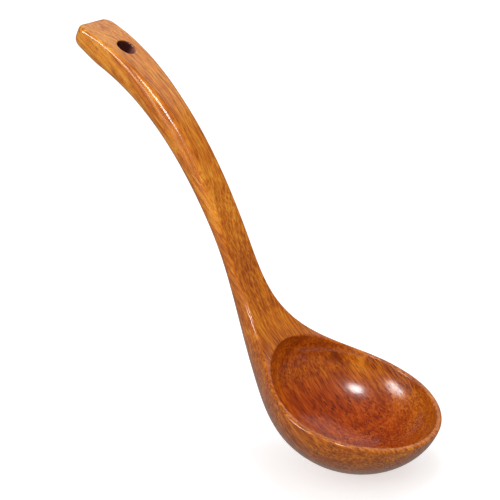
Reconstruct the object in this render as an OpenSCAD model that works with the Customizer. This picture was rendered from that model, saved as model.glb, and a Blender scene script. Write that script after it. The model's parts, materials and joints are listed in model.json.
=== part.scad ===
// Carved wooden soup ladle with a hanging hole near the end of its curved handle.
// Sizes are in millimetres.
// +X runs towards the tip of the bowl, +Y across it, and +Z up.
// The origin is the middle of the hanging hole.
//
// The top of the ladle, from the tip of the rim to the end of the handle, is one bent strip.
// "s" is the distance along that strip from the middle of the bowl, positive towards the handle.
// Every surface point is given by s, by its distance y to the side, and by its depth under the strip.

/* [Bowl] */
// Half of the bowl's width over the rim
bowl_half_width = 47.25; // [35:0.25:60]
// From the middle of the bowl to the outer tip of the rim
bowl_front = 45; // [35:0.5:60]
// Depth of the bowl under the rim, outside
bowl_depth = 35; // [20:0.5:50]
// How square the bowl's outer profile is: 2 is an ellipse
bowl_squareness = 1.9; // [1.5:0.05:3]
// How far the rim dips towards its tip, in degrees
rim_tilt = 16; // [0:1:30]

/* [Hollow] */
// Half of the hollow's width at the rim
hollow_half_width = 44; // [30:0.5:55]
// From the middle of the bowl to the front edge of the hollow
hollow_front = 42; // [30:0.5:55]
// From the middle of the bowl to the back edge of the hollow
hollow_back = 47; // [30:0.5:60]
// How round the back of the hollow's outline is: 2 is an ellipse
hollow_back_roundness = 1.85; // [1.5:0.05:2.5]
// Depth of the hollow under the rim
hollow_depth = 30; // [15:0.5:45]

/* [Neck] */
// Where the strip starts to bend up
neck_start = -12; // [-30:1:30]
// Where the neck ends and the handle begins to hook back
neck_end = 102; // [80:1:130]
// How far each side of the neck's end the handle's own shape comes in
neck_blend = 16; // [2:1:30]
// How far the neck turns up from the rim, in degrees
neck_turn = 52; // [30:1:80]
// Where the bowl's outline has narrowed to the handle's width
flare_end = 122; // [90:1:140]
// How late the outline starts to narrow
flare_lateness = 2.2; // [1.5:0.1:4]
// How fast the outline narrows
flare_rate = 9.1; // [1:0.1:12]
// How fast the bowl's depth runs out into the handle
keel_rate = 3.85; // [1:0.05:8]
// Where the bowl node meets the handle node
neck_station = 72; // [60:1:90]

/* [Handle] */
// Distance along the strip to the end of the handle
strip_end = 244.5; // [200:0.5:300]
// How far the handle hooks back, in degrees
hook_turn = 48; // [0:0.5:70]
// How late the hook gathers
hook_lateness = 1.5; // [1:0.1:3]
// Half widths at the neck, halfway and at the end
handle_half_widths = [10.8, 10, 13.5]; // [5:0.1:20]
// Thicknesses at the neck, halfway and at the end
handle_thicknesses = [7.3, 13, 15]; // [5:0.1:20]
// How square the handle's section is
handle_squareness = 4.5; // [2:0.1:8]
// Radius of the end's corners, seen from above
end_corner_radius = 6; // [1:0.5:8]
// How far from the end the underside starts to taper
end_taper_length = 20; // [5:1:24]
// How much thickness the taper takes off at the end
end_taper_depth = 5; // [0:0.5:8]
// How far the end face leans out, per mm of depth
end_lean = 0.13; // [0:0.01:0.3]

/* [Hanging hole] */
// Distance along the strip to the hole
hole_station = 219.5; // [180:0.5:235]
// Radius of the hole
hole_radius = 5; // [2:0.25:8]
// Where the handle node meets the handle end, the node that holds the hole
end_station = 206; // [190:1:212]

/* [Hidden] */
wood = [0.72, 0.42, 0.16];
hole_facets = 64;
bore_run_out = 20;
// Facets from the rim's edge to the keel
profile_steps = 12;
// Columns of facets in a quarter of the bowl, and from its middle back to the neck
quarter_columns = 10;
back_columns = 14;
// Direction of the last column, with 180 straight back
last_direction = 176;
// Rings of facets on the rim, and in the hollow
rim_rings = 6;
hollow_rings = 12;
// Sections along the handle, along its end before the rounding, and round that end
handle_sections = 20;
end_sections = 6;
rounding_sections = 5;

// ---- The bent strip ----

function ease(u) = let (v = min(1, max(0, u))) v * v * (3 - 2 * v);
function along_handle(s) =
    let (u = (s - neck_end) / (strip_end - neck_end), w = neck_blend / (strip_end - neck_end))
    u > w ? min(u, 1) : pow(max(0, u + w), 2) / (4 * w);
function slope(s) = rim_tilt + neck_turn * ease((s - neck_start) / (neck_end - neck_start))
    - hook_turn * pow(along_handle(s), hook_lateness);

// The strip's side view, walked in short steps: [s, x, z]
step = 0.5;
first_station = -bowl_front - step;
strip = [
    for (
        s = first_station, x = 0, z = 0;
        s <= strip_end + 10 * step;
        x = x - step * cos(slope(s + step / 2)), z = z + step * sin(slope(s + step / 2)), s = s + step
    ) [s, x, z]
];
function strip_x(s) = lookup(s, [for (p = strip) [p[0], p[1]]]);
function strip_z(s) = lookup(s, [for (p = strip) [p[0], p[2]]]);

// The hole's place, which is also the origin
hole_slope = slope(hole_station);
hole_depth = keel_depth(hole_station);
origin_x = strip_x(hole_station) - hole_depth / 2 * sin(hole_slope);
origin_z = strip_z(hole_station) - hole_depth / 2 * cos(hole_slope);

// A point of the ladle from its distance along, its distance to the side and its depth
function place(s, y, depth) = [
    strip_x(s) - depth * sin(slope(s)) - origin_x,
    y,
    strip_z(s) - depth * cos(slope(s)) - origin_z
];

// ---- Outline and sections ----

// A smooth curve through three values, at 0, a half and 1
function through(values, u) = values[0] * (1 - u) * (1 - 2 * u) + values[1] * 4 * u * (1 - u)
    + values[2] * u * (2 * u - 1);
// What a rounded end of radius r takes off at s
function end_loss(s, r) = let (v = min(1, max(0, (s - strip_end + r) / r))) r * (1 - sqrt(1 - v * v));
// 0 up to where the end tapers, and 1 at the very end
function end_part(s) = min(1, max(0, (s - strip_end + end_taper_length) / end_taper_length));
function flare(s) = min(1, max(0, s / flare_end));

function half_width(s) =
    let (handle = through(handle_half_widths, along_handle(s)))
    handle + (bowl_half_width - handle) * pow(1 - pow(flare(s), flare_lateness), flare_rate)
        - end_loss(s, end_corner_radius);
function keel_depth(s) =
    let (handle = through(handle_thicknesses, along_handle(s)))
    handle + (bowl_depth - handle) * pow(1 - pow(flare(s), 2), keel_rate)
        - end_taper_depth * pow(end_part(s), 1.5);
function squareness(s) = bowl_squareness
    + (handle_squareness - bowl_squareness) * ease((s / flare_end - 0.3) / 0.9);

// One point of an outer section: turn 0 is the near edge, 90 the keel and 180 the far edge
function section_point(s, turn) =
    let (
        power = 2 / squareness(s),
        side = turn < 90 ? -1 : 1,
        depth = keel_depth(s) * pow(abs(sin(turn)), power)
    )
    place(
        s + end_lean * depth * end_part(s),
        turn == 90 ? 0 : side * half_width(s) * pow(abs(cos(turn)), power),
        depth
    );

// ---- Bowl ----

// Columns run round the bowl from one side of the neck, past the tip, to the other side.
// A column's direction is 0 at the tip, 90 at the side and 180 straight back.
column_directions = concat(
    [for (i = [back_columns:-1:1]) -90 - (last_direction - 90) * i / back_columns],
    [for (i = [-quarter_columns:quarter_columns]) 90 * i / quarter_columns],
    [for (i = [1:back_columns]) 90 + (last_direction - 90) * i / back_columns]
);
column_count = len(column_directions);
function is_back(a) = abs(a) > 90;
function side_of(a) = a < 0 ? -1 : 1;
function back_station(a) = neck_station * (abs(a) - 90) / (last_direction - 90);

// Where a column crosses the outline and the hollow's edge, as [s, y]
function outline_at(a) = is_back(a)
    ? [back_station(a), side_of(a) * half_width(back_station(a))]
    : [-bowl_front * cos(a), bowl_half_width * sin(a)];
function hollow_edge_at(a) =
    let (back_power = 2 / hollow_back_roundness)
    is_back(a)
    ? [hollow_back * pow(-cos(a), back_power), side_of(a) * hollow_half_width * pow(abs(sin(a)), back_power)]
    : [-hollow_front * cos(a), hollow_half_width * sin(a)];

// Outer wall, from the rim's edge (step 0) to the keel
function wall_point(a, i) =
    let (turn = 90 * i / profile_steps, power = 2 / bowl_squareness, edge = outline_at(a))
    is_back(a)
    ? section_point(back_station(a), a < 0 ? turn : 180 - turn)
    : place(edge[0] * pow(cos(turn), power), edge[1] * pow(cos(turn), power), bowl_depth * pow(sin(turn), power));
// Flat rim, from the outline (ring 0) to the hollow's edge
function rim_point(a, i) =
    let (p = outline_at(a) + (hollow_edge_at(a) - outline_at(a)) * i / rim_rings)
    place(p[0], p[1], 0);
// Hollow, from its edge (ring 0) to its lowest point
function hollow_point(a, i) =
    let (turn = 90 * i / hollow_rings, p = hollow_edge_at(a) * cos(turn))
    place(p[0], p[1], hollow_depth * sin(turn));

// One column of points: the hollow's wall from the bottom up, the rim, and the outer wall down.
// The two lowest points, in the hollow and under the bowl, are shared and come after the columns.
function bowl_column(a) = concat(
    [for (i = [hollow_rings - 1:-1:1]) hollow_point(a, i)],
    [for (i = [rim_rings:-1:0]) rim_point(a, i)],
    [for (i = [1:profile_steps - 1]) wall_point(a, i)]
);
column_size = hollow_rings - 1 + rim_rings + 1 + profile_steps - 1;
outline_row = hollow_rings - 1 + rim_rings;

module bowl() {
    hollow_pole = column_count * column_size;
    keel_pole = hollow_pole + 1;
    // Keel points of the back stations, shared by the columns on both sides
    first_keel = keel_pole + 1;
    points = concat(
        [for (a = column_directions) each bowl_column(a)],
        [place(0, 0, hollow_depth), place(0, 0, bowl_depth)],
        [for (i = [1:back_columns]) section_point(neck_station * i / back_columns, 90)]
    );
    function at(c, row) = ((c + column_count) % column_count) * column_size + row;
    function keel_of(c) =
        let (back = max(back_columns - c, c - (column_count - 1 - back_columns)))
        back > 0 ? first_keel + back - 1 : keel_pole;
    last_row = column_size - 1;
    columns = [0:column_count - 2];
    faces = concat(
        // hollow and rim, all the way round
        [for (c = [0:column_count - 1], r = [0:outline_row - 1]) each quad(
            at(c, r), at(c, r + 1), at(c + 1, r + 1), at(c + 1, r)
        )],
        [for (c = [0:column_count - 1]) [at(c, 0), at(c + 1, 0), hollow_pole]],
        // outer wall, from one side of the neck to the other
        [for (c = columns, r = [outline_row:last_row - 1]) each quad(
            at(c, r), at(c, r + 1), at(c + 1, r + 1), at(c + 1, r)
        )],
        [for (c = columns) each keel_of(c) == keel_of(c + 1)
            ? [[at(c, last_row), keel_of(c), at(c + 1, last_row)]]
            : quad(at(c, last_row), keel_of(c), keel_of(c + 1), at(c + 1, last_row))],
        // face that meets the handle
        [concat(
            [for (r = [last_row:-1:outline_row]) at(0, r)],
            [for (r = [outline_row:last_row]) at(column_count - 1, r)],
            [keel_of(0)]
        )]
    );
    color(wood) polyhedron(points, faces, convexity = 6);
}

function quad(a, b, c, d) = [[a, b, c], [a, c, d]];

// ---- Handle ----

function spread(from, to, count) = [for (i = [0:count]) from + (to - from) * i / count];
handle_stations = spread(neck_station, end_station, handle_sections);
handle_end_stations = concat(
    spread(end_station, strip_end - end_corner_radius, end_sections),
    [for (i = [1:rounding_sections]) strip_end - end_corner_radius * (1 - sin(90 * i / rounding_sections))]
);
section_size = 2 * profile_steps + 1;

// A solid through the sections at these stations
module sections(stations) {
    points = [
        for (s = stations, i = [0:section_size - 1]) section_point(s, 90 * i / profile_steps)
    ];
    last = len(stations) - 1;
    function at(section, i) = section * section_size + i % section_size;
    faces = concat(
        [for (k = [0:last - 1], i = [0:section_size - 1]) each quad(
            at(k, i), at(k + 1, i), at(k + 1, i + 1), at(k, i + 1)
        )],
        [[for (i = [0:section_size - 1]) at(0, i)]],
        [[for (i = [section_size - 1:-1:0]) at(last, i)]]
    );
    polyhedron(points, faces, convexity = 4);
}

module handle() {
    color(wood) sections(handle_stations);
}

module handle_end() {
    color(wood) difference() {
        sections(handle_end_stations);
        rotate([0, hole_slope, 0])
            cylinder(r = hole_radius, h = hole_depth + bore_run_out, center = true, $fn = hole_facets);
    }
}

bowl();
handle();
handle_end();
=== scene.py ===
"""The wooden ladle as one continuous carved skin, in lacquered wood, on a plain pale floor."""
import json
from math import cos, pi, radians, sin

import bmesh
import bpy
import numpy as np
from mathutils import Matrix, Vector


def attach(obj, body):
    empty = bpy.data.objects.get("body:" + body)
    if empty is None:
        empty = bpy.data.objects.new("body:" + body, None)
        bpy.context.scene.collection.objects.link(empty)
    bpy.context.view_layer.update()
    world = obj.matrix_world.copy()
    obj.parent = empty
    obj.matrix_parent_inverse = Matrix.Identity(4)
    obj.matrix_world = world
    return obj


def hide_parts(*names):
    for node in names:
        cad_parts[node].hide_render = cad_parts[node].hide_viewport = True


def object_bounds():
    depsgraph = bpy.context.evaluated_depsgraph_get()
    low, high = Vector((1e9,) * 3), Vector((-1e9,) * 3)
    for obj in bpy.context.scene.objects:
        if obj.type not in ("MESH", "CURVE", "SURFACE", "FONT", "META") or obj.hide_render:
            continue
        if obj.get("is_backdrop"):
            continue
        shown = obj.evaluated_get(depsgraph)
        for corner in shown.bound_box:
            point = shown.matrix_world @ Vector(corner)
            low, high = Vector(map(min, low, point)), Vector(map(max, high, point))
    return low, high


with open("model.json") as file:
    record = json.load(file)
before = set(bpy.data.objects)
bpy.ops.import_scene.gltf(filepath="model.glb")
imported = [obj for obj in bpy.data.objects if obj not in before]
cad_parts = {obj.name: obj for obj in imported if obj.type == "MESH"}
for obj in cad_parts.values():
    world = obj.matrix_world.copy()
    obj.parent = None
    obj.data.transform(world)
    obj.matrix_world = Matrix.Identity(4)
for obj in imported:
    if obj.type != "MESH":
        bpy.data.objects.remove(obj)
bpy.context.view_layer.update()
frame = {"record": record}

MM = 0.001

# ---------------------------------------------------------------------------
# Driving dimensions, in millimetres and degrees. They are the CAD part's, but for
# the bowl's depth, which is 0.1 less so that the skin stays inside the CAD's box.
# The ladle's top is one bent strip. "s" is the distance along it from the middle
# of the bowl, positive towards the handle.
# ---------------------------------------------------------------------------
BOWL_HALF_WIDTH = 47.25
BOWL_FRONT = 45.0
BOWL_DEPTH = 34.9
BOWL_SQUARENESS = 1.9
RIM_TILT = 16.0

HOLLOW_HALF_WIDTH = 44.0
HOLLOW_FRONT = 42.0
HOLLOW_BACK = 47.0
HOLLOW_BACK_ROUNDNESS = 1.85
HOLLOW_DEPTH = 30.0

NECK_START = -12.0
NECK_END = 102.0
NECK_BLEND = 16.0
NECK_TURN = 52.0
FLARE_END = 122.0
FLARE_LATENESS = 2.2
FLARE_RATE = 9.1
KEEL_LATENESS = 2.0
KEEL_RATE = 3.85
NECK_STATION = 72.0

STRIP_END = 244.5
HOOK_TURN = 48.0
HOOK_LATENESS = 1.5
HANDLE_HALF_WIDTHS = (10.8, 10.0, 13.5)
HANDLE_THICKNESSES = (7.3, 13.0, 15.0)
HANDLE_SQUARENESS = 4.5
END_CORNER_RADIUS = 6.0
END_TAPER_LENGTH = 20.0
END_TAPER_DEPTH = 5.0
END_TAPER_LATENESS = 1.5
END_LEAN = 0.13

HOLE_STATION = 219.5
HOLE_RADIUS = 5.0

# Where the round bowl's section turns into the square handle's, as parts of the flare's length
SQUARING_START = 0.3
SQUARING_LENGTH = 0.9

# Rounded edges, which the CAD part leaves sharp
END_EDGE_RADIUS = 1.2
END_TOP_RADIUS = 1.6
HOLE_MOUTH_RADIUS = 0.7
HOLLOW_EDGE_RADIUS = 0.7
# The long edges of the top at stations along the strip, and how much fuller the sides stand there
EDGE_STATIONS = (0.0, 60.0, 120.0, 155.0, 180.0, 200.0, 222.0, 243.5)
EDGE_RADII = (1.1, 1.3, 3.4, 4.8, 4.8, 3.2, 1.7, 1.7)
EDGE_FULLNESS = (0.0, 0.2, 0.6, 0.9, 0.8, 0.45, 0.1, 0.0)

# Mesh density
STRIP_STEP = 0.1
HOLLOW_RINGS = 44
RIM_RINGS = 16
WALL_ROWS = 44
WALL_SAMPLES = 400
EDGE_ROWS = 12
QUARTER_COLUMNS = 36
BACK_COLUMNS = 36
TOP_COLUMNS = 34
LAST_DIRECTION = 165.0
STATION_STEP = 0.9
END_STEPS = 16
# The block of the handle's grid that each mouth of the hole takes: columns to each side, and length
HOLE_BLOCK = 12
HOLE_BLOCK_HALF_LENGTH = HOLE_RADIUS + 2.6
HOLE_RINGS = 4
BORE_RINGS = 10
MOUTH_ROWS = 4
FITTING_ROUNDS = 8
MERGE_DISTANCE = 1e-6


# ---------------------------------------------------------------------------
# The bent strip
# ---------------------------------------------------------------------------
def ease(u):
    v = np.clip(u, 0.0, 1.0)
    return v * v * (3 - 2 * v)


def along_handle(s):
    """0 up to the neck, coming in softly round its end, and 1 at the end of the handle."""
    u = (s - NECK_END) / (STRIP_END - NECK_END)
    w = NECK_BLEND / (STRIP_END - NECK_END)
    return np.where(u > w, np.minimum(u, 1.0), np.maximum(0.0, u + w) ** 2 / (4 * w))


def slope(s):
    """Direction of the strip over the horizontal, in radians."""
    neck = NECK_TURN * ease((s - NECK_START) / (NECK_END - NECK_START))
    hook = HOOK_TURN * along_handle(s) ** HOOK_LATENESS
    return np.radians(RIM_TILT + neck - hook)


# The strip's points, walked from a little before the tip to a little past the end
STRIP_S = np.arange(-BOWL_FRONT - 1, STRIP_END + 5, STRIP_STEP)
STRIP_SLOPE = slope(STRIP_S[:-1] + STRIP_STEP / 2)
STRIP_X = np.concatenate([[0], np.cumsum(-np.cos(STRIP_SLOPE) * STRIP_STEP)])
STRIP_Z = np.concatenate([[0], np.cumsum(np.sin(STRIP_SLOPE) * STRIP_STEP)])


def lift(s, y, depth):
    """Points of the ladle from (s, y, depth), before the origin is moved to the hole."""
    s, y, depth = np.broadcast_arrays(*(np.asarray(v, float) for v in (s, y, depth)))
    x = np.interp(s, STRIP_S, STRIP_X)
    z = np.interp(s, STRIP_S, STRIP_Z)
    angle = slope(s)
    return np.stack([x - depth * np.sin(angle), y, z - depth * np.cos(angle)], -1)


# ---------------------------------------------------------------------------
# Outline and sections
# ---------------------------------------------------------------------------
def through(values, u):
    """A smooth curve through three values, at 0, a half and 1."""
    return values[0] * (1 - u) * (1 - 2 * u) + values[1] * 4 * u * (1 - u) + values[2] * u * (2 * u - 1)


def end_loss(s, radius):
    """What a rounded end of this radius takes off at s."""
    v = np.clip((s - STRIP_END + radius) / radius, 0.0, 1.0)
    return radius * (1 - np.sqrt(1 - v * v))


def end_part(s):
    """0 up to where the end tapers, and 1 at the very end."""
    return np.clip((s - STRIP_END + END_TAPER_LENGTH) / END_TAPER_LENGTH, 0.0, 1.0)


def flare(s):
    """0 at the middle of the bowl, and 1 from where the bowl's flare is over."""
    return np.clip(s / FLARE_END, 0.0, 1.0)


def half_width(s):
    handle = through(HANDLE_HALF_WIDTHS, along_handle(s))
    blend = (1 - flare(s) ** FLARE_LATENESS) ** FLARE_RATE
    return handle + (BOWL_HALF_WIDTH - handle) * blend - end_loss(s, END_CORNER_RADIUS)


def keel_depth(s):
    handle = through(HANDLE_THICKNESSES, along_handle(s))
    blend = (1 - flare(s) ** KEEL_LATENESS) ** KEEL_RATE
    taper = END_TAPER_DEPTH * end_part(s) ** END_TAPER_LATENESS
    return handle + (BOWL_DEPTH - handle) * blend - taper - end_loss(s, END_EDGE_RADIUS)


def squareness(s):
    part = ease((s / FLARE_END - SQUARING_START) / SQUARING_LENGTH)
    return BOWL_SQUARENESS + (HANDLE_SQUARENESS - BOWL_SQUARENESS) * part


def edge_radius(s):
    return np.interp(s, EDGE_STATIONS, EDGE_RADII)


def section(width, depth, power, radius):
    """One side of a section from the top's flat to the keel, as (distance from the middle, depth).

    The upper edge is an arc, and the wall under it is a superellipse, walked in equal steps.
    """
    turn = np.linspace(0, pi / 2, EDGE_ROWS)
    arc_depth = radius * (1 - np.cos(turn))
    arc_wall = width * (1 - (arc_depth / depth) ** power) ** (1 / power)
    arc = np.stack([arc_wall - radius * (1 - np.sin(turn)), arc_depth], -1)
    wall_start = (radius / depth) ** (power / 2)
    angle = np.linspace(np.arcsin(min(wall_start, 1)), pi / 2, WALL_SAMPLES)
    wall = np.stack([
        width * np.cos(angle).clip(0) ** (2 / power),
        depth * np.sin(angle) ** (2 / power),
    ], -1)
    walked = np.concatenate([[0], np.cumsum(np.linalg.norm(np.diff(wall, axis=0), axis=1))])
    stops = np.linspace(0, walked[-1], WALL_ROWS + 1)[1:]
    rest = np.stack([np.interp(stops, walked, wall[:, i]) for i in (0, 1)], -1)
    return np.concatenate([arc, rest])


def section_at(s):
    """The handle's rounded edges would thin its outline, so its sides stand a little fuller."""
    fuller = np.interp(s, EDGE_STATIONS, EDGE_FULLNESS)
    return section(half_width(s) + fuller, keel_depth(s), squareness(s), edge_radius(s))


# ---------------------------------------------------------------------------
# Bowl columns: each runs from the hollow's lowest point up to the rim and on
# ---------------------------------------------------------------------------
def hollow_edge(direction):
    """The hollow's edge in a direction in degrees, 0 at the tip and 180 straight back, as (s, y)."""
    c, n = cos(radians(direction)), sin(radians(direction))
    if c >= 0:
        return np.array([-HOLLOW_FRONT * c, HOLLOW_HALF_WIDTH * n])
    power = 2 / HOLLOW_BACK_ROUNDNESS
    side = 1 if n > 0 else -1
    return np.array([HOLLOW_BACK * (-c) ** power, side * HOLLOW_HALF_WIDTH * abs(n) ** power])


def hollow_wall(edge):
    """From the ring above the lowest point up to the flat of the rim, as (s, y, depth)."""
    radius = HOLLOW_EDGE_RADIUS
    outward = edge / np.linalg.norm(edge)
    wall_top = np.arcsin(radius / HOLLOW_DEPTH)
    turn = np.linspace(pi / 2, wall_top, HOLLOW_RINGS + 1)[1:]
    wall = np.column_stack([np.outer(np.cos(turn), edge), HOLLOW_DEPTH * np.sin(turn)])
    turn = np.linspace(pi / 2, 0, MOUTH_ROWS + 1)[1:]
    depth = radius * (1 - np.cos(turn))
    scale = np.sqrt(1 - (depth / HOLLOW_DEPTH) ** 2)
    arc = np.outer(scale, edge) + np.outer(radius * (1 - np.sin(turn)), outward)
    return np.concatenate([wall, np.column_stack([arc, depth])])


def flat_between(start, end):
    """Points of the top's flat strictly between two (s, y) points."""
    u = np.linspace(0, 1, RIM_RINGS + 1)[1:-1, None]
    flat = start + (end - start) * u
    return np.column_stack([flat, np.zeros(len(flat))])


def bowl_column(direction, station=None, top_y=None):
    """A column's points. Behind the middle of the bowl it meets the outline at a station, and at
    the neck it ends on the handle's top, at top_y."""
    inside = hollow_wall(hollow_edge(direction))
    start = inside[-1, :2]
    if top_y is not None:
        end = np.array([NECK_STATION, top_y])
        return np.concatenate([inside, flat_between(start, end), [[*end, 0]]])
    if station is not None:
        profile = section_at(station)
        side = 1 if direction > 0 else -1
        outside = np.column_stack([np.full(len(profile), station), side * profile[:, 0], profile[:, 1]])
    else:
        c, n = cos(radians(direction)), sin(radians(direction))
        edge = np.array([-BOWL_FRONT * c, BOWL_HALF_WIDTH * n])
        width = np.linalg.norm(edge)
        profile = section(width, BOWL_DEPTH, BOWL_SQUARENESS, edge_radius(0))
        outside = np.column_stack([np.outer(profile[:, 0] / width, edge), profile[:, 1]])
    return np.concatenate([inside, flat_between(start, outside[0, :2]), outside])


class Skin:
    """Collects points given as (s, y, depth) and faces given by point numbers."""

    def __init__(self):
        self.points = []
        self.faces = []

    def add(self, points):
        first = len(self.points)
        self.points.extend(np.asarray(points, float).reshape(-1, 3))
        return list(range(first, len(self.points)))

    def strip(self, a, b):
        """Quads between two equal rows of point numbers."""
        for i in range(len(a) - 1):
            face = [a[i], a[i + 1], b[i + 1], b[i]]
            face = [v for k, v in enumerate(face) if v != face[k - 1]]
            if len(face) > 2:
                self.faces.append(face)

    def band(self, a, b):
        """Quads between two equal closed rings of point numbers."""
        self.strip(a + a[:1], b + b[:1])


def column_plan():
    """Every column's direction, station and top_y, once round from the neck's near side."""
    parts = [i / BACK_COLUMNS for i in range(1, BACK_COLUMNS + 1)]
    far = [(90 + (LAST_DIRECTION - 90) * u, NECK_STATION * u, None) for u in parts]
    near = [(-direction, station, None) for direction, station, _ in reversed(far)]
    front = [(90 * i / QUARTER_COLUMNS, None, None) for i in range(-QUARTER_COLUMNS, QUARTER_COLUMNS + 1)]
    neck_edge = section_at(NECK_STATION)[0, 0]
    neck = []
    for i in range(1, TOP_COLUMNS):
        u = i / TOP_COLUMNS
        direction = LAST_DIRECTION + (360 - 2 * LAST_DIRECTION) * u
        neck.append((direction, None, neck_edge * (1 - 2 * u)))
    return near + front + far + neck


def build_bowl(skin):
    """Adds the bowl up to the neck station. Returns the ring of point numbers that the handle
    goes on from: across the top of the neck from the far side, then round under it."""
    lowest = skin.add([0, 0, HOLLOW_DEPTH])[0]
    keels = {}
    columns = []
    for direction, station, top_y in column_plan():
        points = bowl_column(direction, station, top_y)
        if top_y is not None:
            columns.append(skin.add(points))
            continue
        keel = 0.0 if station is None else station
        if keel not in keels:
            keels[keel] = skin.add([keel, 0, keel_depth(keel)])[0]
        columns.append(skin.add(points[:-1]) + [keels[keel]])

    # the first columns go on down the outside, and those behind them end on the neck's top
    top_rows = HOLLOW_RINGS + MOUTH_ROWS + RIM_RINGS - 1
    full = 2 * BACK_COLUMNS + 2 * QUARTER_COLUMNS + 1
    for k, column in enumerate(columns):
        after = columns[(k + 1) % len(columns)]
        skin.faces.append([lowest, column[0], after[0]])
        rows = len(column) if k < full - 1 else top_rows + 1
        skin.strip(column[:rows], after[:rows])
    near, far = columns[0], columns[full - 1]
    across = [far[top_rows]] + [c[top_rows] for c in columns[full:]] + [near[top_rows]]
    under = near[top_rows + 1:] + far[top_rows + 1:-1][::-1]
    return across + under


# ---------------------------------------------------------------------------
# Handle rings, with the hanging hole worked into them
# ---------------------------------------------------------------------------
def handle_stations():
    """Even steps to the end's rounding, then steps that follow the rounding."""
    rounding = STRIP_END - END_CORNER_RADIUS
    block = (HOLE_STATION - HOLE_BLOCK_HALF_LENGTH, HOLE_STATION + HOLE_BLOCK_HALF_LENGTH)
    marks = [NECK_STATION, *block, rounding]
    stations = [NECK_STATION]
    for a, b in zip(marks[:-1], marks[1:]):
        steps = max(2, round((b - a) / STATION_STEP))
        stations += [a + (b - a) * i / steps for i in range(1, steps + 1)]
    turns = np.linspace(0, pi / 2, END_STEPS + 1)[1:]
    stations += [STRIP_END - END_CORNER_RADIUS * (1 - sin(t)) for t in turns]
    return np.array(stations)


def handle_ring(s):
    """The points round one handle section: across the top from the far side, then round under it."""
    widths, depths = section_at(s).T
    sink = end_loss(s, END_TOP_RADIUS)
    across = [(widths[0] * (1 - 2 * i / TOP_COLUMNS), sink) for i in range(TOP_COLUMNS + 1)]
    depths = sink + depths * (depths[-1] - sink) / depths[-1]
    near = [(-y, d) for y, d in zip(widths, depths)][1:]
    far = [(y, d) for y, d in zip(widths, depths)][1:-1][::-1]
    return [(s + END_LEAN * d * end_part(s), y, d) for y, d in across + near + far]


def hole_frame():
    """Where the bore's axis meets the top, the direction along the handle there, and the axis itself."""
    angle = float(slope(HOLE_STATION))
    along = np.array([-cos(angle), 0, sin(angle)])
    axis = np.array([sin(angle), 0, cos(angle)])
    return lift(HOLE_STATION, 0, 0), along, axis


def surface_depth(s, y, under):
    """Depth of the handle's top or underside at (s, y)."""
    if not under:
        return np.zeros_like(y)
    power = squareness(s)
    return keel_depth(s) * (1 - np.abs(y / half_width(s)) ** power) ** (1 / power)


def on_circle(radius, angles, under):
    """Points (s, y, depth) of a surface that lie on a cylinder of this radius round the bore's axis."""
    centre, along, _ = hole_frame()
    y = radius * np.sin(angles)
    target = radius * np.cos(angles)
    s = HOLE_STATION + target
    for _ in range(FITTING_ROUNDS):
        reach = (lift(s, y, surface_depth(s, y, under)) - centre) @ along
        s = s + (target - reach)
    return np.column_stack([s, y, surface_depth(s, y, under)])


def block_border(rings, low, high, first, last):
    """Point numbers round the edge of a block of a grid of rings."""
    border = [rings[low][j] for j in range(first, last)]
    border += [rings[i][last] for i in range(low, high)]
    border += [rings[high][j] for j in range(last, first, -1)]
    border += [rings[i][first] for i in range(high, low, -1)]
    return border


def surround(skin, border, under):
    """Rings of points from a block's edge in to the mouth of the hole, and on over its lip.
    Returns the last ring and its points' angles round the axis."""
    centre, along, _ = hole_frame()
    places = np.array([skin.points[v] for v in border])
    local = lift(places[:, 0], places[:, 1], places[:, 2]) - centre
    u, v = local @ along, local[:, 1]
    angles = np.arctan2(v, u)
    reach = np.hypot(u, v)
    lip = HOLE_RADIUS + HOLE_MOUTH_RADIUS
    ring = border
    for k in range(1, HOLE_RINGS + 1):
        previous = ring
        radii = reach + (lip - reach) * k / HOLE_RINGS
        ring = skin.add(on_circle(radii, angles, under))
        skin.band(previous, ring)
    for k in range(1, MOUTH_ROWS + 1):
        previous = ring
        turn = pi / 2 * k / MOUTH_ROWS
        radius = lip - HOLE_MOUTH_RADIUS * sin(turn)
        drop = HOLE_MOUTH_RADIUS * (1 - cos(turn))
        points = on_circle(radius, angles, under)
        points[:, 2] += -drop if under else drop
        ring = skin.add(points)
        skin.band(previous, ring)
    return ring, angles


def build_handle(skin, neck_ring):
    """Adds the handle from the neck's ring on. Returns the two mouths of the hanging hole, the
    top's and the underside's, each as its ring of point numbers and their angles."""
    stations = handle_stations()
    rings = [neck_ring] + [skin.add(handle_ring(s)) for s in stations[1:]]
    low = int(np.argmin(abs(stations - (HOLE_STATION - HOLE_BLOCK_HALF_LENGTH))))
    high = int(np.argmin(abs(stations - (HOLE_STATION + HOLE_BLOCK_HALF_LENGTH))))
    top_middle = TOP_COLUMNS // 2
    keel = TOP_COLUMNS + EDGE_ROWS - 1 + WALL_ROWS
    blocks = [(middle - HOLE_BLOCK, middle + HOLE_BLOCK) for middle in (top_middle, keel)]

    def in_hole(i, j):
        return low <= i < high and any(a <= j < b for a, b in blocks)

    for i in range(len(rings) - 1):
        a, b = rings[i] + rings[i][:1], rings[i + 1] + rings[i + 1][:1]
        for j in range(len(rings[i])):
            if not in_hole(i, j):
                skin.faces.append([a[j], a[j + 1], b[j + 1], b[j]])
    skin.faces.append(rings[-1][::-1])

    mouths = []
    for (first, last), under in zip(blocks, (False, True)):
        border = block_border(rings, low, high, first, last)
        mouths.append(surround(skin, border, under))
    return mouths


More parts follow.
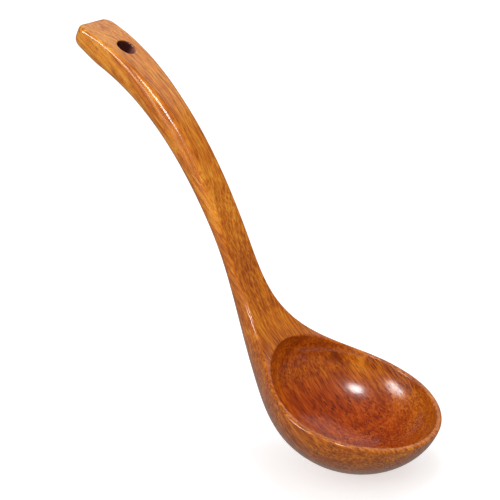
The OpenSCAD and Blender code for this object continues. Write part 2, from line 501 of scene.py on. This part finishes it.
def bridge_bore(skin, mouths):
    """The wall of the hole between its two mouths."""
    (top, top_angles), (bottom, bottom_angles) = mouths
    # the underside's ring runs the other way round, so it is read backwards, from the same angle
    bottom = bottom[::-1]
    turned = bottom_angles[::-1] - top_angles[0]
    shift = int(np.argmin(np.abs(np.angle(np.exp(1j * turned)))))
    bottom = bottom[shift:] + bottom[:shift]
    high = np.array([skin.points[v] for v in top])
    low = np.array([skin.points[v] for v in bottom])
    previous = top
    for k in range(1, BORE_RINGS):
        ring = skin.add(high + (low - high) * k / BORE_RINGS)
        skin.band(previous, ring)
        previous = ring
    skin.band(previous, bottom)


def in_frame(points):
    """Lifted points in the row's frame, in metres. The hanging hole's middle is its mount."""
    hole_middle = lift(HOLE_STATION, 0, keel_depth(HOLE_STATION) / 2)
    mount = np.array(frame["record"]["mounts"][0]["pos_m"])
    return (points - hole_middle) * MM + mount


def make_ladle():
    skin = Skin()
    mouths = build_handle(skin, build_bowl(skin))
    bridge_bore(skin, mouths)
    points = np.array(skin.points)
    places = in_frame(lift(points[:, 0], points[:, 1], points[:, 2]))
    mesh = bpy.data.meshes.new("ladle")
    mesh.from_pydata([tuple(p) for p in places], [], skin.faces)
    mesh.validate()
    work = bmesh.new()
    work.from_mesh(mesh)
    bmesh.ops.remove_doubles(work, verts=work.verts, dist=MERGE_DISTANCE)
    bmesh.ops.recalc_face_normals(work, faces=work.faces)
    work.to_mesh(mesh)
    work.free()
    mesh.shade_smooth()
    ladle = bpy.data.objects.new("ladle", mesh)
    bpy.context.scene.collection.objects.link(ladle)
    return ladle


ladle = make_ladle()
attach(ladle, "root")
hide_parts("bowl", "handle", "handle_end")

bowl_middle = Vector(in_frame(lift(0, 0, 0)))

# ---------------------------------------------------------------------------
# Wood: everything is worked out from the place in the piece, in metres
# ---------------------------------------------------------------------------
GRAIN_TILT = 46.0
# The pith lies well outside the piece. Places and scales go along the grain, across it and by layer.
PITH = (0, 0.060, -0.075)
SHELLS_PER_METRE = 210.0
LINES_PER_METRE = 900.0
WANDER_SCALE = (14, 30, 30)
WANDER_REACH = (0, 0.010, 0.010)
RIPPLE_SCALE = (90, 160, 160)
RIPPLE_REACH = (0, 0.0012, 0.0012)
FIBRE_SCALE = (66, 820, 820)
RIBBON_SCALE = (9, 130, 130)
PORE_SCALE = (130, 1050, 1050)
CROWD_SCALE = (35, 130, 130)
FLAME_SCALE = (120, 45, 45)
PATCH_SCALE = 26.0

# The wood's colours from its darkest tone to its palest, each with the tone that it is for
WOOD_TONES = [
    (0.10, (0.22, 0.040, 0.003)),
    (0.34, (0.45, 0.100, 0.004)),
    (0.56, (0.67, 0.205, 0.008)),
    (0.86, (0.86, 0.370, 0.040)),
]
PORE_COLOUR = (0.14, 0.025, 0.002)
# Painted shade and bounce-light reddening in the hollow, partly lacquer and stain pooled there
HOLLOW_SHADE_AND_STAIN = (0.78, 0.42, 0.14)
# The wall of the hanging hole, painted: light from below on the bowl's side, and deep shade on the end's side
BORE_LIT_SIDE_PAINTED = (0.50, 0.20, 0.14)
BORE_SHADED_SIDE_PAINTED = (0.055, 0.012, 0.010)

# What each kind of figure adds to the tone. Four numbers are a share that fades: two places along
# the grain, from the bowl towards the handle's end, and the share at each.
TONE_BASE = 0.115
SHELLS = 0.11
LINES = (-0.15, -0.08, 0.03, 0.13)
FIBRES = 0.31
RIBBONS = 0.07
FLAME = 0.09
PATCHES = 0.07
# Painted light: the tone grows paler from the neck towards the handle's end, as if the upper handle were lit
# more
PAINTED_LIGHT_ALONG_HANDLE = (-0.16, 0.0, -0.07, 0.08)
VEIN = -0.27
PALE_FLAME = 0.16
# How strongly the pores show, likewise, how much they keep to crowds, and their soft edge
PORES = (-0.17, -0.15, 0.85, 0.38)
PORE_CROWDING = 0.55
PORE_EDGE = (0.46, 0.62)

# Two marks in the hollow's far wall
VEIN_CENTRE = (-0.1880, 0.0330, -0.0243)
VEIN_RADII = (0.0165, 0.0030, 0.0030)
PALE_FLAME_CENTRE = (-0.1955, 0.0390, -0.0195)
PALE_FLAME_RADII = (0.016, 0.0065, 0.0065)

# The hollow's darkening fades over these bands. It is partly painted shade and bounce-light reddening, and
# partly lacquer and stain pooled there. The bands go round its wall, as parts of the hollow's own reach, down
# from the rim, and from its middle to its back
SHADE_AND_STAIN_EDGE = (1.012, 1.035)
SHADE_AND_STAIN_DOWN = (0.002, 0.024)
SHADE_AND_STAIN_AT_RIM = 0.12
SHADE_AND_STAIN_BACK = (0.010, 0.046)
SHADE_AND_STAIN_AT_BACK = 0.6
# The hanging hole's painted shade begins over this band along the handle, from the hole's middle; before it
# the wall has painted light
BORE_SHADE_BAND = (-0.0040, 0.0015)

WOOD_ROUGHNESS = 0.34
FIBRE_ROUGHNESS = 0.12
PORE_ROUGHNESS = 0.15
BUMP_STRENGTH = 0.25
BUMP_DISTANCE = 0.00008
LACQUER_ROUGHNESS = 0.19
LACQUER_IOR = 1.5
UNDER_LACQUER_SPECULAR = 0.12


class Shader:
    """Short ways to add shader nodes to a node tree."""

    def __init__(self, tree):
        self.tree = tree

    def node(self, kind, inputs=None, **settings):
        node = self.tree.nodes.new(kind)
        for name, value in settings.items():
            setattr(node, name, value)
        for key, value in (inputs or {}).items():
            self.feed(node.inputs[key], value)
        return node

    def feed(self, socket, value):
        """Links a socket to another one, or sets its value."""
        if isinstance(value, bpy.types.NodeSocket):
            self.tree.links.new(value, socket)
        else:
            socket.default_value = value

    def math(self, operation, a, b=0.0, c=0.0):
        return self.node("ShaderNodeMath", {0: a, 1: b, 2: c}, operation=operation).outputs[0]

    def vector(self, operation, a, b=(0, 0, 0)):
        node = self.node("ShaderNodeVectorMath", {0: a, 1: b}, operation=operation)
        return node.outputs["Value" if operation in ("DOT_PRODUCT", "LENGTH") else "Vector"]

    def scaled(self, vector, factors):
        return self.vector("MULTIPLY", vector, factors)

    def noise(self, vector, scale=1.0, detail=2.0, roughness=0.5):
        return self.node("ShaderNodeTexNoise", {
            "Vector": vector, "Scale": scale, "Detail": detail, "Roughness": roughness,
        })

    def drift(self, vector, scale, reach, detail):
        """Small random shifts to either side of nothing."""
        shift = self.noise(self.scaled(vector, scale), detail=detail).outputs["Color"]
        return self.scaled(self.vector("SUBTRACT", shift, (0.5, 0.5, 0.5)), reach)

    def layers(self, depth, detail, roughness):
        """Noise that changes with depth alone."""
        return self.node("ShaderNodeTexNoise", {
            "W": depth, "Scale": 1.0, "Detail": detail, "Roughness": roughness,
        }, noise_dimensions="1D").outputs[0]

    def remap(self, value, low, high, to_low=0.0, to_high=1.0, smooth=True):
        kind = "SMOOTHSTEP" if smooth else "LINEAR"
        return self.node("ShaderNodeMapRange", {
            "Value": value, "From Min": low, "From Max": high, "To Min": to_low, "To Max": to_high,
        }, interpolation_type=kind).outputs[0]

    def spread(self, value, half):
        """Noise, which keeps near a half, spread out over 0 to 1."""
        return self.remap(value, 0.5 - half, 0.5 + half)

    def mix(self, factor, a, b, blend="MIX"):
        """Two colours mixed. Each is an output or a plain red, green and blue."""
        a, b = ((*colour, 1) if isinstance(colour, tuple) else colour for colour in (a, b))
        node = self.node("ShaderNodeMix", {0: factor, 6: a, 7: b}, data_type="RGBA", blend_type=blend)
        return node.outputs[2]

    def ramp(self, value, stops):
        node = self.node("ShaderNodeValToRGB", {"Fac": value})
        ramp = node.color_ramp
        while len(ramp.elements) < len(stops):
            ramp.elements.new(0.5)
        for element, (place, colour) in zip(ramp.elements, stops):
            element.position = place
            element.color = (*colour, 1)
        return node.outputs[0]


def hollow_shade_and_stain(sh, place):
    """How much of the hollow's painted shade, with some real stain, a place takes: most at the bottom, and
    more at its back than at its front.
    """
    tilt = radians(RIM_TILT)
    local = sh.vector("SUBTRACT", place, tuple(bowl_middle))
    backward = sh.vector("DOT_PRODUCT", local, (-cos(tilt), 0, sin(tilt)))
    down = sh.vector("DOT_PRODUCT", local, (-sin(tilt), 0, -cos(tilt)))
    across = sh.vector("DOT_PRODUCT", local, (0, 1, 0))
    # the place as a part of the hollow's own reach each way, so that its wall lies at 1
    lengthwise = sh.remap(backward, -0.002, 0.002, 1 / (HOLLOW_FRONT * MM), 1 / (HOLLOW_BACK * MM))
    parts = sh.node("ShaderNodeCombineXYZ", {
        0: sh.math("MULTIPLY", backward, lengthwise),
        1: sh.math("DIVIDE", across, HOLLOW_HALF_WIDTH * MM),
        2: sh.math("DIVIDE", down, HOLLOW_DEPTH * MM),
    }).outputs[0]
    inside = sh.remap(sh.vector("LENGTH", parts), *SHADE_AND_STAIN_EDGE, 1.0, 0.0)
    deep = sh.remap(down, *SHADE_AND_STAIN_DOWN, SHADE_AND_STAIN_AT_RIM, 1.0)
    back = sh.remap(backward, *SHADE_AND_STAIN_BACK, 0.0, SHADE_AND_STAIN_AT_BACK)
    return sh.math("MULTIPLY", inside, sh.math("MAXIMUM", deep, back))


def spot(sh, grown, centre, radii):
    """A soft spot of other wood: 1 in its middle and 0 outside it."""
    parts = sh.vector("DIVIDE", sh.vector("SUBTRACT", grown, centre), radii)
    return sh.remap(sh.vector("LENGTH", parts), 0.2, 1.0, 1.0, 0.0)


def bore_shading_masks(sh, place):
    """Two masks for the painted light and shade in the hanging hole: 1 on its wall and 0 round it, and 0 to 1
    from the bowl's side of the hole, which is painted lit, to the end's side, which is painted in shade."""
    _, along, axis = (tuple(v) for v in hole_frame())
    off_axis = sh.vector("LENGTH", sh.vector("CROSS_PRODUCT", place, axis))
    inner, outer = (HOLE_RADIUS + 0.1) * MM, (HOLE_RADIUS + HOLE_MOUTH_RADIUS) * MM
    wall = sh.remap(off_axis, inner, outer, 1.0, 0.0)
    shaded_side = sh.remap(sh.vector("DOT_PRODUCT", place, along), *BORE_SHADE_BAND)
    return wall, shaded_side


def wood_material():
    material = bpy.data.materials.new("lacquered_wood")
    material.use_nodes = True
    sh = Shader(material.node_tree)
    bsdf = material.node_tree.nodes["Principled BSDF"]

    place = sh.node("ShaderNodeTexCoord").outputs["Object"]
    tilt = radians(GRAIN_TILT)
    along = sh.vector("DOT_PRODUCT", place, (-cos(tilt), 0, sin(tilt)))
    layer = sh.vector("DOT_PRODUCT", place, (sin(tilt), 0, cos(tilt)))
    across = sh.vector("DOT_PRODUCT", place, (0, 1, 0))
    grain = sh.node("ShaderNodeCombineXYZ", {0: along, 1: across, 2: layer}).outputs[0]

    # the grain's own wander and ripple, sideways only
    wander = sh.drift(grain, WANDER_SCALE, WANDER_REACH, detail=2.0)
    ripple = sh.drift(grain, RIPPLE_SCALE, RIPPLE_REACH, detail=1.0)
    grown = sh.vector("ADD", sh.vector("ADD", grain, wander), ripple)

    # growth layers: irregular shells and thin lines round the pith
    from_pith = sh.vector("SUBTRACT", grown, PITH)
    radius = sh.vector("LENGTH", sh.scaled(from_pith, (0, 1, 1)))
    shells = sh.layers(sh.math("MULTIPLY", radius, SHELLS_PER_METRE), detail=3.0, roughness=0.6)
    shells = sh.spread(shells, 0.20)
    lines = sh.layers(sh.math("MULTIPLY", radius, LINES_PER_METRE), detail=1.0, roughness=0.5)
    lines = sh.spread(lines, 0.16)
    # fibres: fine streaks along the grain
    fibres = sh.noise(sh.scaled(grown, FIBRE_SCALE), detail=4.0, roughness=0.66).outputs[0]
    fibres = sh.spread(fibres, 0.16)
    # ribbons: broader streaks along the grain
    ribbons = sh.noise(sh.scaled(grown, RIBBON_SCALE)).outputs[0]
    ribbons = sh.spread(ribbons, 0.18)
    # pores: short dark dashes, in crowds
    cells = sh.node("ShaderNodeTexVoronoi", {
        "Vector": sh.scaled(grown, PORE_SCALE), "Scale": 1.0,
    }).outputs["Distance"]
    crowd = sh.noise(sh.scaled(grown, CROWD_SCALE), detail=1.0).outputs[0]
    crowded = sh.math("ADD", cells, sh.math("MULTIPLY", crowd, PORE_CROWDING))
    pores = sh.remap(crowded, *PORE_EDGE, 1.0, 0.0)
    # flame: soft bands across the grain where the fibres wave
    flame = sh.noise(sh.scaled(grain, FLAME_SCALE), roughness=0.55).outputs[0]
    flame = sh.spread(flame, 0.18)
    patches = sh.spread(sh.noise(grain, scale=PATCH_SCALE, detail=1.0).outputs[0], 0.17)

    tone = sh.math("MULTIPLY_ADD", shells, SHELLS, TONE_BASE)
    for figure, share in (
        (lines, sh.remap(along, *LINES)),
        (fibres, FIBRES),
        (ribbons, RIBBONS),
        (flame, FLAME),
        (patches, PATCHES),
        (spot(sh, grown, VEIN_CENTRE, VEIN_RADII), VEIN),
        (spot(sh, grown, PALE_FLAME_CENTRE, PALE_FLAME_RADII), PALE_FLAME),
    ):
        tone = sh.math("ADD", tone, sh.math("MULTIPLY", figure, share))
    # Painted light: darker towards the neck and bowl, paler towards the handle's end
    tone = sh.math("ADD", tone, sh.remap(along, *PAINTED_LIGHT_ALONG_HANDLE))

    colour = sh.ramp(tone, WOOD_TONES)
    pore_share = sh.remap(along, *PORES)
    colour = sh.mix(sh.math("MULTIPLY", pores, pore_share), colour, PORE_COLOUR)
    # Painted shade in the hollow, darker and redder towards its bottom and back, partly lacquer and stain
    # pooled there
    shaded_and_stained = sh.mix(1.0, colour, HOLLOW_SHADE_AND_STAIN, blend="MULTIPLY")
    colour = sh.mix(hollow_shade_and_stain(sh, place), colour, shaded_and_stained)
    # The hole's wall is painted: light from below on the bowl's side, deep shade on the end's side
    bore_wall, shaded_side = bore_shading_masks(sh, place)
    colour = sh.mix(bore_wall, colour, sh.mix(shaded_side, BORE_LIT_SIDE_PAINTED, BORE_SHADED_SIDE_PAINTED))

    rough = sh.math("ADD", WOOD_ROUGHNESS, sh.math("MULTIPLY", fibres, FIBRE_ROUGHNESS))
    rough = sh.math("ADD", rough, sh.math("MULTIPLY", pores, PORE_ROUGHNESS))
    height = sh.math("SUBTRACT", sh.math("MULTIPLY", fibres, 0.3), pores)
    bump = sh.node("ShaderNodeBump", {"Height": height, "Strength": BUMP_STRENGTH, "Distance": BUMP_DISTANCE})
    for key, value in {
        "Base Color": colour,
        "Roughness": rough,
        "Normal": bump.outputs[0],
        "Coat Weight": 1.0,
        "Coat Roughness": LACQUER_ROUGHNESS,
        "Coat IOR": LACQUER_IOR,
        "Specular IOR Level": UNDER_LACQUER_SPECULAR,
    }.items():
        sh.feed(bsdf.inputs[key], value)
    return material


ladle.data.materials.append(wood_material())

# ---------------------------------------------------------------------------
# Floor, light and camera
# ---------------------------------------------------------------------------
WHITE = (1, 1, 1, 1)
FLOOR_REACH = 6.0
FLOOR_GREY = 0.75
FLOOR_GLOW = 0.60

# The surround's strength below and above the horizon, as light and as seen in the gloss, and what
# the light is multiplied by behind the ladle and in front of it. The bands are where each changes.
FILL = (0.31, 0.59)
REFLECTED_FILL = (0.26, 0.06)
HORIZON_BAND = (-0.15, 0.15)
FRONT = (0.54, -0.84, 0)
FRONT_SHARE = (0.80, 1.22)
FRONT_BAND = (-0.6, 0.6)

# The camera's direction in degrees, its distance and the width it takes in there in metres, and
# how far right of and above the bowl's middle it points
AZIMUTH = 33.0
ELEVATION = 18.4
DISTANCE = 0.87
VIEW_WIDTH = 0.25
AIM_RIGHT = -0.0522
AIM_UP = 0.0735
SENSOR_WIDTH = 36.0


def add_floor():
    """A pale floor under the ladle's lowest point. The surround lights the ladle from below in
    its place, so that it can be near white."""
    floor_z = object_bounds()[0][2]
    corners = [(-1, -1), (1, -1), (1, 1), (-1, 1)]
    mesh = bpy.data.meshes.new("floor")
    places = [(x * FLOOR_REACH, y * FLOOR_REACH, floor_z) for x, y in corners]
    mesh.from_pydata(places, [], [(0, 1, 2, 3)])
    floor = bpy.data.objects.new("floor", mesh)
    bpy.context.scene.collection.objects.link(floor)
    paint = bpy.data.materials.new("floor")
    paint.use_nodes = True
    bsdf = paint.node_tree.nodes["Principled BSDF"]
    bsdf.inputs["Base Color"].default_value = (FLOOR_GREY, FLOOR_GREY, FLOOR_GREY, 1)
    bsdf.inputs["Roughness"].default_value = 0.9
    bsdf.inputs["Specular IOR Level"].default_value = 0.0
    bsdf.inputs["Emission Color"].default_value = WHITE
    bsdf.inputs["Emission Strength"].default_value = FLOOR_GLOW
    mesh.materials.append(paint)
    floor.visible_diffuse = False
    floor.visible_glossy = False
    floor.visible_shadow = False
    floor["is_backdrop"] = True
    return floor


def add_light(name, aim, seen, size, radiance, shape, diffuse=True, glossy=True, only=None):
    """An area light that faces a point. It is seen from there at an azimuth, an elevation and a
    distance, and can light one object only."""
    azimuth, elevation, distance = seen
    az, el = radians(azimuth), radians(elevation)
    towards = Vector((cos(az) * cos(el), sin(az) * cos(el), sin(el)))
    data = bpy.data.lights.new(name, "AREA")
    data.shape = shape
    data.size, data.size_y = size
    area = size[0] * size[1] * (1 if shape == "RECTANGLE" else pi / 4)
    data.energy = radiance * pi * area
    light = bpy.data.objects.new(name, data)
    bpy.context.scene.collection.objects.link(light)
    light.location = Vector(aim) + towards * distance
    light.rotation_euler = towards.to_track_quat("Z", "Y").to_euler()
    light.visible_diffuse = diffuse
    light.visible_glossy = glossy
    if only:
        receivers = bpy.data.collections.new(f"lit_by_{name}")
        receivers.objects.link(only)
        light.light_linking.receiver_collection = receivers


def add_lights(floor):
    """The key lights the ladle alone, and a light over the bowl gives the floor its shadow. The
    two lights at the left only show in the gloss, and the front one never does."""
    middle = bowl_middle
    add_light("key", middle, (-45.5, 47.8, 3.0), (0.72, 0.72), 32.0, "DISK", only=ladle)
    add_light("back", middle, (95.0, 45.0, 3.0), (2.4, 1.8), 0.65, "RECTANGLE")
    add_light("left", middle, (-114.0, 22.0, 3.0), (1.9, 1.6), 7.5, "ELLIPSE", diffuse=False)
    add_light("left_core", middle, (-117.0, 20.5, 3.0), (1.5, 0.8), 12.0, "ELLIPSE", diffuse=False)
    add_light("front", (0, 0, 0), (-100.0, 5.0, 0.7), (0.45, 0.45), 2.3, "RECTANGLE", glossy=False)
    add_light("over_floor", middle, (123.0, 76.0, 1.5), (0.5, 0.5), 4.6, "DISK", only=floor)


def add_world():
    """A white surround, which lights everything, shows less in the gloss and is plain white behind."""
    world = bpy.data.worlds.new("studio")
    world.use_nodes = True
    sh = Shader(world.node_tree)
    ray = sh.node("ShaderNodeLightPath")
    direction = sh.node("ShaderNodeTexCoord").outputs["Generated"]
    height = sh.vector("DOT_PRODUCT", direction, (0, 0, 1))
    fill = sh.remap(height, *HORIZON_BAND, *FILL)
    facing = sh.vector("DOT_PRODUCT", direction, FRONT)
    fill = sh.math("MULTIPLY", fill, sh.remap(facing, *FRONT_BAND, *FRONT_SHARE))
    reflected = sh.remap(height, *HORIZON_BAND, *REFLECTED_FILL)
    strength = sh.remap(ray.outputs["Is Glossy Ray"], 0.0, 1.0, fill, reflected, smooth=False)
    strength = sh.remap(ray.outputs["Is Camera Ray"], 0.0, 1.0, strength, 1.0, smooth=False)
    background = world.node_tree.nodes["Background"]
    sh.feed(background.inputs["Color"], WHITE)
    sh.feed(background.inputs["Strength"], strength)
    bpy.context.scene.world = world


def add_camera():
    a, e = radians(AZIMUTH), radians(ELEVATION)
    right = Vector((cos(a), sin(a), 0))
    up = Vector((-sin(a) * sin(e), cos(a) * sin(e), cos(e)))
    towards = right.cross(up)
    target = bowl_middle + AIM_RIGHT * right + AIM_UP * up
    data = bpy.data.cameras.new("camera")
    data.sensor_width = SENSOR_WIDTH
    data.lens = SENSOR_WIDTH * DISTANCE / VIEW_WIDTH
    camera = bpy.data.objects.new("camera", data)
    bpy.context.scene.collection.objects.link(camera)
    turn = Matrix((right, up, towards)).transposed().to_4x4()
    camera.matrix_world = Matrix.Translation(target + DISTANCE * towards) @ turn
    bpy.context.scene.camera = camera


add_lights(add_floor())
add_world()
add_camera()
bpy.context.scene.view_settings.view_transform = "Standard"
